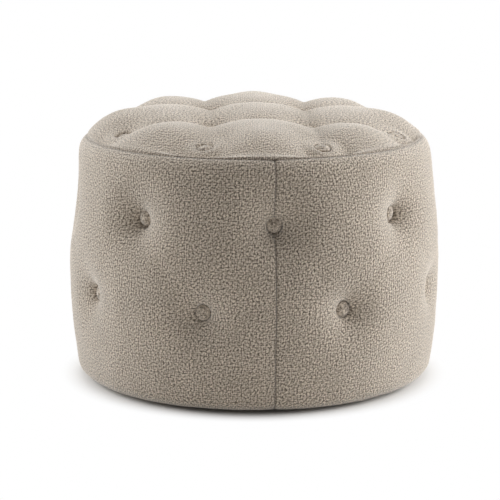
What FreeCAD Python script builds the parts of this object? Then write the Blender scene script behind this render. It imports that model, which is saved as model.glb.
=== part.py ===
import FreeCAD, Part
import math
import os

import Sketcher
from FreeCAD import Placement, Rotation, Vector

# A round button-tufted tuffet: a plywood and timber drum, padded with foam, covered in
# curly fleece that twenty-eight covered buttons draw in, on six nail-on glides.
# Millimetres, +Z up, origin on the floor under the middle. The front is towards -Y.
# Angles count from the front side seam, which is turned a little from the front. The seat's
# own pattern is turned a little back from it and lies to one side.

DIMENSIONS = {
    # whole object
    "front_turn": 6.3,
    "belly_radius": 285.0,
    "belly_height": 170.0,
    "belly_curve": 1000.0,
    "crown_height": 417.0,
    "seam_height": 370.5,
    # rounded edges of the padded form
    "shoulder_curve": 32.0,
    "shoulder_height": 345.0,
    "rim_curve": 88.8,
    "rim_centre_radius": 182.1,
    "rim_centre_height": 322.2,
    "base_curve": 20.0,
    # cover cloth
    "fabric": 3.0,
    "hem_bottom": 6.0,
    "hem_inner_radius": 190.0,
    # drum
    "drum_radius": 240.0,
    "wall": 3.0,
    "base_board_thickness": 18.0,
    "top_board_thickness": 15.0,
    "upright_width": 40.0,
    "upright_depth": 28.0,
    "upright_count": 8.0,
    "upright_turn": 8.25,
    "upright_gap": 0.1,
    # covered buttons
    "button_radius": 11.45,
    "button_height": 8.0,
    "button_edge": 2.0,
    "button_back_radius": 9.0,
    "button_back_thickness": 1.6,
    "shank_radius": 2.2,
    "shank_length": 3.0,
    # tufts: the dished seat of each button and the soft lip that runs up from it
    "seat_radius": 12.5,
    "needle_hole": 2.6,
    "ring_count": 8.0,
    "inner_count": 4.0,
    "side_lip_radius": 285.5,
    "upper_row_height": 275.7,
    "upper_apex_radius": 255.5,
    "upper_tuft_radius": 72.0,
    "lower_row_height": 148.5,
    "lower_apex_radius": 267.0,
    "lower_tuft_radius": 64.0,
    "seat_turn": -4.3,
    "seat_shift": 6.0,
    "outer_ring_radius": 217.7,
    "outer_lean": 12.0,
    "outer_apex_height": 382.2,
    "outer_lip_height": 411.0,
    "outer_tuft_radius": 62.0,
    "inner_ring_radius": 103.0,
    "inner_apex_height": 391.0,
    "inner_lip_height": 416.0,
    "inner_tuft_radius": 68.0,
    # valleys between the buttons of the seat
    "valley_radius": 38.0,
    "valley_depth": 12.0,
    "valley_fall": 11.0,
    # twine and its toggles
    "twine_radius": 0.9,
    "twine_hole": 1.6,
    "toggle_radius": 10.0,
    "seat_toggle_radius": 8.0,
    "toggle_thickness": 2.5,
    "toggle_gap": 0.4,
    # underside
    "dust_cover_radius": 230.0,
    "dust_cover_thickness": 0.8,
    "glide_count": 6.0,
    "glide_ring_radius": 212.0,
    "glide_radius": 14.0,
    "glide_edge": 1.5,
    "glide_floor": 2.0,
    "nail_radius": 1.3,
    "nail_head_radius": 4.0,
    "nail_head_height": 1.0,
    "nail_length": 16.0,
    # fasteners
    "screw_radius": 2.0,
    "screw_head_radius": 4.2,
    "screw_head_height": 3.0,
    "screw_length": 45.0,
    "screw_gap": 0.1,
    "staple_count": 24.0,
    "staple_ring_radius": 200.0,
    "staple_width": 10.0,
    "staple_wire": 0.8,
    "staple_leg": 9.0,
}

ORIGIN_PLANES = {"XY": "XY_Plane", "XZ": "XZ_Plane"}
# Length by which a cutting form runs past what it cuts, and the least such length
TOOL_REACH = 30.0
TOOL_OVERLAP = 1.0
STEP_ANGLE = 22.5
# Turns of a sketch that point its upright axis up, in to the drum's axis, or down
UP = 0.0
INWARD = 90.0
DOWN = 180.0

doc = FreeCAD.newDocument("Tuffet")


class Size:
    """A length with the sheet expression that gives it."""

    def __init__(self, value, text):
        self.value = float(value)
        self.text = text

    def _with(self, other, sign, value):
        other_text = other.text if isinstance(other, Size) else repr(float(other))
        return Size(value, "(" + self.text + " " + sign + " " + other_text + ")")

    def __add__(self, other):
        return self._with(other, "+", self.value + number(other))

    def __sub__(self, other):
        return self._with(other, "-", self.value - number(other))

    def __mul__(self, other):
        return self._with(other, "*", self.value * number(other))

    def __truediv__(self, other):
        return self._with(other, "/", self.value / number(other))

    def root(self):
        return Size(math.sqrt(self.value), "sqrt(" + self.text + ")")


def number(size):
    return size.value if isinstance(size, Size) else float(size)


def make_sheet():
    """Writes the driving dimensions into the sheet, one alias to a row."""
    sheet = doc.addObject("Spreadsheet::Sheet", "Dims")
    for row, (alias, value) in enumerate(DIMENSIONS.items(), start=1):
        sheet.set("A" + str(row), alias)
        sheet.set("B" + str(row), str(value))
        sheet.setAlias("B" + str(row), alias)
    doc.recompute()
    return sheet


sheet = make_sheet()


class Sizes:
    """Gives each cell of the sheet as a Size, by its alias."""

    def __getattr__(self, alias):
        return Size(sheet.get(alias), "Dims." + alias)


d = Sizes()
ZERO = Size(0.0, "0")
REACH = Size(TOOL_REACH, str(TOOL_REACH))
FRONT_ANGLE = d.front_turn.value - 90.0
TURNED = Placement(Vector(), Rotation(Vector(0, 0, 1), FRONT_ANGLE))


class Centre:
    """The upright axis a pattern lies round, turned, and shifted to one side."""

    def __init__(self, label, turn, shift):
        self.label = label
        self.in_body = Placement(Vector(0, shift, 0), Rotation(Vector(0, 0, 1), turn))
        self.in_sketch = Placement(Vector(0, 0, -shift), Rotation(Vector(0, 1, 0), turn))


DRUM = Centre("drum", 0.0, 0.0)
SEAT = Centre("seat", d.seat_turn.value, d.seat_shift.value)


def new_body(label):
    body = doc.addObject("PartDesign::Body", label)
    body.Label = label
    body.Placement = TURNED
    return body


def origin_item(body, role):
    return next(item for item in body.Origin.OriginFeatures if item.Role == role)


def new_sketch(body, name, plane="XZ", offset=None):
    sketch = body.newObject("Sketcher::SketchObject", name)
    sketch.AttachmentSupport = [(origin_item(body, ORIGIN_PLANES[plane]), "")]
    sketch.MapMode = "FlatFace"
    if offset is not None:
        sketch.AttachmentOffset = offset
    return sketch


def bind(sketch, index, size):
    if isinstance(size, Size) and size.text != "0":
        sketch.setExpression("Constraints[" + str(index) + "]", size.text)


def draw_profile(sketch, points):
    """Draws a closed outline through (x, y, radius, bulge) corners.

    radius is None for a straight side to the next corner, else the radius of the arc to
    it; bulge is +1 where the arc's middle lies left of the chord and -1 where it lies right.
    """
    count = len(points)
    for index, (x, y, radius, bulge) in enumerate(points):
        start = Vector(number(x), number(y), 0)
        following = points[(index + 1) % count]
        end = Vector(number(following[0]), number(following[1]), 0)
        if radius is None:
            sketch.addGeometry(Part.LineSegment(start, end), False)
            continue
        chord = end - start
        left = Vector(-chord.y, chord.x, 0).normalize()
        half = chord.Length / 2
        rise = number(radius) - math.sqrt(max(number(radius) ** 2 - half ** 2, 0.0))
        middle = (start + end) * 0.5 + left * (rise * bulge)
        sketch.addGeometry(Part.Arc(start, middle, end), False)
    for index in range(count):
        close_corner(sketch, points, index)


def end_of(sketch, index, point):
    """Says which end of an edge, 1 or 2, lies at the point."""
    first = sketch.getPoint(index, 1)
    return 1 if first.distanceToPoint(point) < 1e-4 else 2


def close_corner(sketch, points, index):
    """Joins the sides that meet at one corner, and binds the corner's place and the arc."""
    x, y, radius, _ = points[index]
    here = Vector(number(x), number(y), 0)
    before = (index - 1) % len(points)
    this_end = end_of(sketch, index, here)
    other_end = end_of(sketch, before, here)
    sketch.addConstraint(Sketcher.Constraint("Coincident", before, other_end, index, this_end))
    for kind, size in (("DistanceX", x), ("DistanceY", y)):
        if abs(number(size)) < 1e-9:
            axis = -2 if kind == "DistanceX" else -1
            constraint = Sketcher.Constraint("PointOnObject", index, this_end, axis)
            sketch.addConstraint(constraint)
            continue
        constraint = Sketcher.Constraint(kind, -1, 1, index, this_end, number(size))
        bind(sketch, sketch.addConstraint(constraint), size)
    if radius is not None:
        constraint = Sketcher.Constraint("Radius", index, number(radius))
        bind(sketch, sketch.addConstraint(constraint), radius)


def straight(*corners):
    return [(x, y, None, 0) for x, y in corners]


def draw_circle(sketch, x, y, radius):
    centre = Vector(number(x), number(y), 0)
    item = sketch.addGeometry(Part.Circle(centre, Vector(0, 0, 1), number(radius)), False)
    for kind, size in (("DistanceX", x), ("DistanceY", y)):
        if abs(number(size)) < 1e-9:
            axis = -2 if kind == "DistanceX" else -1
            sketch.addConstraint(Sketcher.Constraint("PointOnObject", item, 3, axis))
        else:
            constraint = Sketcher.Constraint(kind, -1, 1, item, 3, number(size))
            bind(sketch, sketch.addConstraint(constraint), size)
    bind(sketch, sketch.addConstraint(Sketcher.Constraint("Radius", item, number(radius))), radius)


def finish_feature(body, feature, sketch):
    sketch.Visibility = False
    body.Tip = feature
    doc.recompute()
    return feature


def pad(body, sketch, length):
    feature = body.newObject("PartDesign::Pad", sketch.Name + "_pad")
    feature.Profile = sketch
    feature.setExpression("Length", length.text)
    return finish_feature(body, feature, sketch)


def revolve(body, sketch, kind="Revolution"):
    """Turns the sketch a full turn about its own upright axis, adding or cutting."""
    feature = body.newObject("PartDesign::" + kind, sketch.Name + "_turned")
    feature.Profile = sketch
    feature.ReferenceAxis = (sketch, ["V_Axis"])
    feature.Angle = 360.0
    return finish_feature(body, feature, sketch)


def cut_through(body, sketch, length):
    """Cuts the sketch's outline out for half the length on each side of its plane."""
    feature = body.newObject("PartDesign::Pocket", sketch.Name + "_cut")
    feature.Profile = sketch
    feature.SideType = "Symmetric"
    feature.setExpression("Length", length.text)
    return finish_feature(body, feature, sketch)


def pattern_axis(body, centre):
    """Axis that a body's features are repeated about."""
    if centre is DRUM:
        return origin_item(body, "Z_Axis"), [""]
    name = body.Label + "_" + centre.label + "_axis"
    sketch = doc.getObject(name) or new_sketch(body, name, "XZ", centre.in_sketch)
    sketch.Visibility = False
    return sketch, ["V_Axis"]


def polar_pattern(body, features, count, name, centre=DRUM):
    pattern = body.newObject("PartDesign::PolarPattern", name)
    pattern.Originals = features
    pattern.Axis = pattern_axis(body, centre)
    pattern.Angle = 360.0
    pattern.setExpression("Occurrences", count.text)
    body.Tip = pattern
    doc.recompute()
    return pattern


def station(angle, radius, height, facing, centre=DRUM):
    """Places a sketch of the XZ plane at a spot of a pattern, facing UP, INWARD or DOWN."""
    turn = Placement(Vector(), Rotation(Vector(0, 1, 0), angle))
    spot = Vector(number(radius), number(height), 0)
    return centre.in_sketch * turn * Placement(spot, Rotation(Vector(0, 0, 1), facing))


def leaned(place, lean, hold):
    """Leans a sketch's place outwards about the point that lies hold along its upright axis."""
    back = Placement(Vector(0, number(hold), 0), Rotation(Vector(0, 0, 1), -lean))
    return place * back * Placement(Vector(0, -number(hold), 0), Rotation())


def crown_curve():
    """Radius of the seat's crown, which meets the rim's arc without a corner."""
    rise = d.crown_height - d.rim_centre_height
    across = d.rim_centre_radius * d.rim_centre_radius
    return (across + rise * rise - d.rim_curve * d.rim_curve) / ((rise - d.rim_curve) * 2)


def crown_meets_rim(inset):
    """Point where the crown's arc runs into the rim's arc, on the form inset by a length."""
    crown = crown_curve()
    share = (crown - inset) / (crown - d.rim_curve)
    low = d.crown_height - crown
    return d.rim_centre_radius * share, low + (d.rim_centre_height - low) * share


def rim_at_seam(inset):
    curve = d.rim_curve - inset
    rise = d.seam_height - d.rim_centre_height
    return d.rim_centre_radius + (curve * curve - rise * rise).root()


def edge_centre_radius(curve, height):
    """Radius at which a rounded edge's centre lies, so that it runs into the belly."""
    reach = d.belly_curve - curve
    rise = height - d.belly_height
    return d.belly_radius - d.belly_curve + (reach * reach - rise * rise).root()


def edge_meets_belly(curve, height, inset):
    """Point where a rounded edge runs into the belly's arc."""
    middle = d.belly_radius - d.belly_curve
    centre = edge_centre_radius(curve, height)
    share = (d.belly_curve - inset) / (d.belly_curve - curve)
    return middle + (centre - middle) * share, d.belly_height + (height - d.belly_height) * share


def shoulder_at_seam(inset):
    curve = d.shoulder_curve - inset
    rise = d.seam_height - d.shoulder_height
    centre = edge_centre_radius(d.shoulder_curve, d.shoulder_height)
    return centre + (curve * curve - rise * rise).root()


def side_outline(inset, top_corners):
    """Outline of the side from the turned-under hem to the seam, inset by a length."""
    base_height = d.hem_bottom + d.base_curve
    base_centre = edge_centre_radius(d.base_curve, base_height)
    low_x, low_y = edge_meets_belly(d.base_curve, base_height, inset)
    high_x, high_y = edge_meets_belly(d.shoulder_curve, d.shoulder_height, inset)
    return [
        (ZERO, d.hem_bottom + inset, None, 0),
        (base_centre, d.hem_bottom + inset, d.base_curve - inset, -1),
        (low_x, low_y, d.belly_curve - inset, -1),
        (high_x, high_y, d.shoulder_curve - inset, -1),
        (shoulder_at_seam(inset), d.seam_height, None, 0),
    ] + top_corners


def tuft_profile(radius, depth, inset, hole):
    """Half outline of a tuft's cutter: button seat, soft lip and the needle's hole.

    Its corners count inwards from TOOL_REACH outside the lip.
    """
    lip = REACH
    across = radius - d.seat_radius
    curve = (across * across + depth * depth) / (depth * 2)
    small = curve - inset
    fall = curve - depth - inset
    floor = lip + depth + inset
    seat = radius - (small * small - fall * fall).root()
    bottom = lip + depth + hole
    return [
        (ZERO, ZERO, None, 0),
        (ZERO, bottom, None, 0),
        (d.needle_hole, bottom, None, 0),
        (d.needle_hole, floor, None, 0),
        (seat, floor, small, -1),
        (radius, lip + inset, None, 0),
        (radius, ZERO, None, 0),
    ]


def bore_ring(body, name, place, profile, count, centre=DRUM):
    """Cuts a ring of round bores with the given half outline."""
    sketch = new_sketch(body, body.Label + "_" + name, "XZ", place)
    draw_profile(sketch, profile)
    doc.recompute()
    cut = revolve(body, sketch, "Groove")
    return polar_pattern(body, [cut], count, body.Label + "_" + name + "_ring", centre)


def add_valley(body, name, place, length, inset):
    """Cuts the valleys of one kind, each between two buttons of the seat."""
    width = d.valley_radius
    curve = (width * width + d.valley_depth * d.valley_depth) / (d.valley_depth * 2)
    small = curve - inset
    low = REACH + curve - (small * small - width * width).root()
    sketch = new_sketch(body, body.Label + "_" + name, "XZ", place)
    draw_profile(sketch, [
        (ZERO, ZERO, None, 0),
        (ZERO, REACH + inset, small, -1),
        (width, low, small, -1),
        (width * 2, REACH + inset, None, 0),
        (width * 2, ZERO, None, 0),
    ])
    doc.recompute()
    cut = cut_through(body, sketch, Size(length, str(length)))
    return polar_pattern(body, [cut], d.inner_count, body.Label + "_" + name + "_ring", SEAT)


def plan_point(radius, angle):
    turn = math.radians(angle)
    return Vector(number(radius) * math.cos(turn), number(radius) * math.sin(turn), 0)


def valley_place(first, second, lip_height, fall):
    """Places a valley's sketch across the line from one button to the next."""
    line = second - first
    middle = (first + second) * 0.5
    heading = math.degrees(math.atan2(line.y, line.x))
    tilt = math.degrees(math.atan2(fall, line.Length))
    in_plane = Vector(middle.x, lip_height - fall / 2 + TOOL_REACH, -middle.y)
    turn = Placement(in_plane, Rotation(Vector(0, 1, 0), heading - 90.0))
    lean = Placement(Vector(), Rotation(Vector(1, 0, 0), tilt))
    down = Placement(Vector(), Rotation(Vector(0, 0, 1), DOWN))
    shift = Placement(Vector(-d.valley_radius.value, 0, 0), Rotation())
    return SEAT.in_sketch * turn * lean * down * shift, line.Length


def add_seat_tufts(body, inset):
    outer_depth = d.outer_lip_height - d.outer_apex_height + d.button_height
    inner_depth = d.inner_lip_height - d.inner_apex_height + d.button_height
    outer = station(STEP_ANGLE, d.outer_ring_radius, d.outer_lip_height + TOOL_REACH, DOWN, SEAT)
    outer = leaned(outer, d.outer_lean.value, REACH + outer_depth + d.shank_length)
    inner = station(2 * STEP_ANGLE, d.inner_ring_radius, d.inner_lip_height + TOOL_REACH, DOWN,
                    SEAT)
    twine = station(STEP_ANGLE, d.outer_ring_radius, d.outer_apex_height, DOWN, SEAT)
    hub = plan_point(d.inner_ring_radius, 2 * STEP_ANGLE)
    beside = plan_point(d.inner_ring_radius, 6 * STEP_ANGLE)
    right = plan_point(d.outer_ring_radius, STEP_ANGLE)
    left = plan_point(d.outer_ring_radius, 3 * STEP_ANGLE)
    lip_height = d.inner_lip_height.value
    fall = d.valley_fall.value
    for name, start, end, drop in (("valley_a", hub, beside, 0.0),
                                   ("valley_b", hub, right, fall),
                                   ("valley_c", hub, left, fall)):
        place, length = valley_place(start, end, lip_height, drop)
        add_valley(body, name, place, length, inset)
    tuft = tuft_profile(d.outer_tuft_radius, outer_depth, inset, d.shank_length + d.fabric)
    bore_ring(body, "outer_tufts", outer, tuft, d.ring_count, SEAT)
    hole = rod_profile(d.needle_hole, d.button_height + TOOL_OVERLAP, REACH * 2)
    bore_ring(body, "outer_needle_holes", twine, hole, d.ring_count, SEAT)
    tuft = tuft_profile(d.inner_tuft_radius, inner_depth, inset, REACH * 2)
    bore_ring(body, "inner_tufts", inner, tuft, d.inner_count, SEAT)


def add_side_tufts(body, inset):
    upper_depth = d.side_lip_radius - d.upper_apex_radius + d.button_height
    lower_depth = d.side_lip_radius - d.lower_apex_radius + d.button_height
    reach = d.side_lip_radius + TOOL_REACH
    upper = station(0.0, reach, d.upper_row_height, INWARD)
    lower = station(STEP_ANGLE, reach, d.lower_row_height, INWARD)
    tuft = tuft_profile(d.upper_tuft_radius, upper_depth, inset, REACH * 2)
    bore_ring(body, "upper_tufts", upper, tuft, d.ring_count)
    tuft = tuft_profile(d.lower_tuft_radius, lower_depth, inset, REACH * 2)
    bore_ring(body, "lower_tufts", lower, tuft, d.ring_count)


def seat_outline(inset, bottom_corners):
    """Outline of the seat from the seam over the rim to the crown."""
    meet_x, meet_y = crown_meets_rim(inset)
    return bottom_corners + [
        (rim_at_seam(inset), d.seam_height, d.rim_curve - inset, -1),
        (meet_x, meet_y, crown_curve() - inset, -1),
        (ZERO, d.crown_height - inset, None, 0),
    ]


def turned_form(label, outline):
    body = new_body(label)
    sketch = new_sketch(body, label + "_outline")
    draw_profile(sketch, outline)
    doc.recompute()
    revolve(body, sketch)
    return body


def make_seat_foam():
    shoulder = edge_centre_radius(d.shoulder_curve, d.shoulder_height) + d.shoulder_curve
    corners = [
        (ZERO, d.shoulder_height, None, 0),
        (shoulder - d.fabric, d.shoulder_height, d.shoulder_curve - d.fabric, -1),
        (shoulder_at_seam(d.fabric), d.seam_height, None, 0),
    ]
    body = turned_form("seat_foam", seat_outline(d.fabric, corners))
    add_seat_tufts(body, d.fabric)
    return body


def make_seat_form():
    """Outside of the seat's cover, as a solid."""
    body = turned_form("seat_form", seat_outline(ZERO, straight((ZERO, d.seam_height))))
    add_seat_tufts(body, ZERO)
    return body


def make_side_form(label, inset, top_rise):
    """Outside or inside of the side's cover, as a solid."""
    top = [(ZERO, d.seam_height, None, 0)]
    if top_rise:
        top = [
            (shoulder_at_seam(inset), d.seam_height + top_rise, None, 0),
            (ZERO, d.seam_height + top_rise, None, 0),
        ]
    body = turned_form(label, side_outline(inset, top))
    add_side_tufts(body, inset)
    return body


def part_cut(label, base, tool):
    item = doc.addObject("Part::Cut", label)
    item.Label = label
    item.Base = base
    item.Tool = tool
    return item


def part_common(label, base, tool):
    item = doc.addObject("Part::Common", label)
    item.Label = label
    item.Base = base
    item.Tool = tool
    return item


def make_ring(label, outer, inner, low, height):
    """An upright ring or, with no inner radius, a disc."""
    body = new_body(label)
    sketch = new_sketch(body, label + "_plan", "XY", Placement(Vector(0, 0, low.value), Rotation()))
    sketch.setExpression("AttachmentOffset.Base.z", low.text)
    draw_circle(sketch, ZERO, ZERO, outer)
    if inner is not None:
        draw_circle(sketch, ZERO, ZERO, inner)
    doc.recompute()
    pad(body, sketch, height)
    return body


def rod_profile(radius, start, end):
    """Half outline of a straight round rod along the sketch's upright axis."""
    return straight((ZERO, start), (radius, start), (radius, end), (ZERO, end))


def screw_profile(gap):
    """Half outline of a countersunk screw, head first."""
    head = d.screw_head_radius + gap
    shank = d.screw_radius + gap
    return straight((ZERO, ZERO), (head, ZERO), (shank, d.screw_head_height),
                    (shank, d.screw_length + gap), (ZERO, d.screw_length + gap))


def board_low():
    return d.hem_bottom + d.fabric


def top_board_low():
    return d.shoulder_height - d.top_board_thickness


def upright_radius():
    """Radius of an upright's middle, with its outer corners just clear of the wall."""
    inside = d.drum_radius - d.wall - d.upright_gap
    half_width = d.upright_width / 2
    return (inside * inside - half_width * half_width).root() - d.upright_depth / 2


def make_base_board(fasteners):
    blank = make_ring("base_board_blank", d.drum_radius - d.wall, None, board_low(),
                      d.base_board_thickness)
    place = station(d.upright_turn.value, upright_radius(), board_low(), UP)
    bore_ring(blank, "screw_holes", place, screw_profile(d.screw_gap), d.upright_count)
    return part_cut("base_board", blank, fasteners)


def make_top_board():
    body = make_ring("top_board", d.drum_radius - d.wall, None, top_board_low(),
                     d.top_board_thickness)
    place = station(d.upright_turn.value, upright_radius(), d.shoulder_height, DOWN)
    bore_ring(body, "screw_holes", place, screw_profile(d.screw_gap), d.upright_count)
    for name, angle, radius, count in (
            ("outer_needle_holes", STEP_ANGLE, d.outer_ring_radius, d.ring_count),
            ("inner_needle_holes", 2 * STEP_ANGLE, d.inner_ring_radius, d.inner_count)):
        place = station(angle, radius, d.shoulder_height, DOWN, SEAT)
        profile = rod_profile(d.twine_hole, ZERO, d.top_board_thickness * 2)
        bore_ring(body, name, place, profile, count, SEAT)
    return body


def make_drum_wall():
    body = make_ring("drum_wall", d.drum_radius, d.drum_radius - d.wall, board_low(),
                     d.shoulder_height - board_low())
    for name, angle, height in (("upper_needle_holes", 0.0, d.upper_row_height),
                                ("lower_needle_holes", STEP_ANGLE, d.lower_row_height)):
        place = station(angle, d.drum_radius + d.wall, height, INWARD)
        profile = rod_profile(d.twine_hole, ZERO, d.wall * 3)
        bore_ring(body, name, place, profile, d.ring_count)
    return body


def make_upright(index):
    """A timber batten from board to board, with a pilot hole in each end."""
    label = "upright_" + str(index + 1)
    body = new_body(label)
    low = board_low() + d.base_board_thickness
    sketch = new_sketch(body, label + "_section", "XY")
    sketch.setExpression("AttachmentOffset.Base.z", low.text)
    half_width = d.upright_width / 2
    corner_x = Vector(-d.upright_depth.value / 2, -half_width.value, 0)
    far = Vector(d.upright_depth.value / 2, half_width.value, 0)
    rectangle(sketch, corner_x, far, d.upright_depth, d.upright_width)
    doc.recompute()
    pad(body, sketch, top_board_low() - low)
    pilot = d.screw_radius + d.screw_gap
    depth = d.screw_length + d.screw_gap
    for name, height, lean, reach in (
            ("low_pilot", low, UP, depth - d.base_board_thickness),
            ("high_pilot", top_board_low(), DOWN, depth - d.top_board_thickness)):
        hole = new_sketch(body, label + "_" + name, "XZ", station(0.0, ZERO, height, lean))
        draw_profile(hole, rod_profile(pilot, ZERO, reach))
        doc.recompute()
        revolve(body, hole, "Groove")
    turn = d.upright_turn.value + index * 360.0 / d.upright_count.value
    out = Placement(Vector(upright_radius().value, 0, 0), Rotation())
    body.Placement = TURNED * Placement(Vector(), Rotation(Vector(0, 0, 1), turn)) * out
    return body


def rectangle(sketch, near, far, width_x, width_y):
    """A rectangle about the sketch's middle, with its two widths bound."""
    corners = [near, Vector(far.x, near.y, 0), far, Vector(near.x, far.y, 0)]
    for index in range(4):
        sketch.addGeometry(Part.LineSegment(corners[index], corners[(index + 1) % 4]), False)
    for index in range(4):
        joint = Sketcher.Constraint("Coincident", index, 2, (index + 1) % 4, 1)
        sketch.addConstraint(joint)
    for index in (0, 2):
        sketch.addConstraint(Sketcher.Constraint("Horizontal", index))
    for index in (1, 3):
        sketch.addConstraint(Sketcher.Constraint("Vertical", index))
    sketch.addConstraint(Sketcher.Constraint("Symmetric", 0, 1, 1, 2, -1, 1))
    across = Sketcher.Constraint("DistanceX", 0, 1, 0, 2, width_x.value)
    bind(sketch, sketch.addConstraint(across), width_x)
    along = Sketcher.Constraint("DistanceY", 1, 1, 1, 2, width_y.value)
    bind(sketch, sketch.addConstraint(along), width_y)


def button_profile():
    """Half outline of a covered button, hollow behind for its back plate, face first."""
    dome = d.button_height - d.button_edge
    curve = (d.button_radius * d.button_radius + dome * dome) / (dome * 2)
    plate = d.button_height - d.button_back_thickness
    return [
        (ZERO, ZERO, None, 0),
        (ZERO, plate, None, 0),
        (d.button_back_radius, plate, None, 0),
        (d.button_back_radius, d.button_height, None, 0),
        (d.button_radius - d.button_edge / 4, d.button_height, None, 0),
        (d.button_radius, dome, curve, 1),
    ]


class Ring:
    """One ring of buttons: its count, first angle, face, lean, and how far its twines run."""

    def __init__(self, name, centre, count, angle, radius, height, facing, lean, end):
        self.name = name
        self.centre = centre
        self.count = count
        self.angle = angle
        self.spot = (radius, height, facing)
        self.lean = lean
        self.end = end

    def twine_place(self):
        return station(self.angle, *self.spot, self.centre)

    def face_place(self):
        return leaned(self.twine_place(), self.lean, d.button_height + d.shank_length)

    def face_spot(self):
        """Place of a face in a body of its own, before the turn of the pattern."""
        return leaned(station(0.0, *self.spot), self.lean, d.button_height + d.shank_length)


def button_rings():
    inside = d.drum_radius - d.wall - d.toggle_gap
    return (
        Ring("button_top_outer", SEAT, d.ring_count, STEP_ANGLE, d.outer_ring_radius,
             d.outer_apex_height, DOWN, d.outer_lean.value,
             d.outer_apex_height - top_board_low()),
        Ring("button_top_inner", SEAT, d.inner_count, 2 * STEP_ANGLE, d.inner_ring_radius,
             d.inner_apex_height, DOWN, 0.0, d.inner_apex_height - top_board_low()),
        Ring("button_side_upper", DRUM, d.ring_count, 0.0, d.upper_apex_radius,
             d.upper_row_height, INWARD, 0.0, d.upper_apex_radius - inside),
        Ring("button_side_lower", DRUM, d.ring_count, STEP_ANGLE, d.lower_apex_radius,
             d.lower_row_height, INWARD, 0.0, d.lower_apex_radius - inside),
    )


def make_buttons():
    """One body for each covered button, ring by ring."""
    made = []
    for ring in button_rings():
        for index in range(int(ring.count.value)):
            label = ring.name + "_" + str(index + 1)
            body = new_body(label)
            turn = ring.angle + index * 360.0 / ring.count.value
            sketch = new_sketch(body, label + "_outline", "XZ", ring.face_spot())
            draw_profile(sketch, button_profile())
            doc.recompute()
            revolve(body, sketch)
            spin = Placement(Vector(), Rotation(Vector(0, 0, 1), turn))
            body.Placement = TURNED * ring.centre.in_body * spin
            made.append(body)
    return made


def make_ringed(label, profiles, rings):
    """A group of like pieces: one turned outline, repeated round each ring."""
    body = new_body(label)
    body.AllowCompound = True
    for index, (count, place, centre) in enumerate(rings):
        sketch = new_sketch(body, label + "_outline_" + str(index), "XZ", place)
        draw_profile(sketch, profiles[index])
        doc.recompute()
        turned = revolve(body, sketch)
        polar_pattern(body, [turned], count, label + "_ring_" + str(index), centre)
    return body


def make_button_backs():
    """Plate and shank behind each button."""
    plate = d.button_height - d.button_back_thickness
    end = d.button_height + d.shank_length
    profile = straight((ZERO, plate), (d.button_back_radius, plate),
                       (d.button_back_radius, d.button_height),
                       (d.shank_radius, d.button_height), (d.shank_radius, end), (ZERO, end))
    rings = [(ring.count, ring.face_place(), ring.centre) for ring in button_rings()]
    return make_ringed("button_backs", [profile] * len(rings), rings)


def make_twines():
    """Twine from each shank to its toggle inside the drum."""
    profiles = []
    for ring in button_rings():
        slack = d.twine_radius * math.tan(math.radians(ring.lean))
        start = d.button_height + d.shank_length + slack
        profiles.append(rod_profile(d.twine_radius, start, ring.end))
    rings = [(ring.count, ring.twine_place(), ring.centre) for ring in button_rings()]
    return make_ringed("tufting_twines", profiles, rings)


def make_toggles():
    """Flat toggles that the twines are tied to, under the seat board and inside the wall."""
    profiles = []
    for ring in button_rings():
        wide = d.seat_toggle_radius if ring.centre is SEAT else d.toggle_radius
        profiles.append(rod_profile(wide, ring.end, ring.end + d.toggle_thickness))
    rings = [(ring.count, ring.twine_place(), ring.centre) for ring in button_rings()]
    return make_ringed("twine_toggles", profiles, rings)


def make_screws():
    """Countersunk screws through both boards into the ends of the uprights."""
    rings = [
        (d.upright_count,
         station(d.upright_turn.value, upright_radius(), d.shoulder_height, DOWN), DRUM),
        (d.upright_count, station(d.upright_turn.value, upright_radius(), board_low(), UP), DRUM),
    ]
    return make_ringed("frame_screws", [screw_profile(ZERO)] * 2, rings)


def glide_height():
    return d.hem_bottom - d.dust_cover_thickness


def make_nails():
    """Nail of each glide, its head held in the glide."""
    head = d.glide_floor + d.nail_head_height
    end = d.glide_floor + d.nail_length
    profile = straight((ZERO, d.glide_floor), (d.nail_head_radius, d.glide_floor),
                       (d.nail_head_radius, head), (d.nail_radius, head),
                       (d.nail_radius, end), (ZERO, end))
    place = station(0.0, d.glide_ring_radius, ZERO, UP)
    return make_ringed("glide_nails", [profile], [(d.glide_count, place, DRUM)])


def make_glides(nails):
    """Nail-on plastic glides that the tuffet stands on."""
    made = []
    for index in range(int(d.glide_count.value)):
        label = "glide_" + str(index + 1)
        body = new_body(label + "_blank")
        sketch = new_sketch(body, label + "_outline", "XZ",
                            station(0.0, d.glide_ring_radius, ZERO, UP))
        low = d.glide_radius - d.glide_edge
        draw_profile(sketch, straight((ZERO, ZERO), (low, ZERO), (d.glide_radius, d.glide_edge),
                                      (d.glide_radius, glide_height()), (ZERO, glide_height())))
        doc.recompute()
        revolve(body, sketch)
        turn = index * 360.0 / d.glide_count.value
        body.Placement = TURNED * Placement(Vector(), Rotation(Vector(0, 0, 1), turn))
        made.append(part_cut(label, body, nails))
    return made


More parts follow.
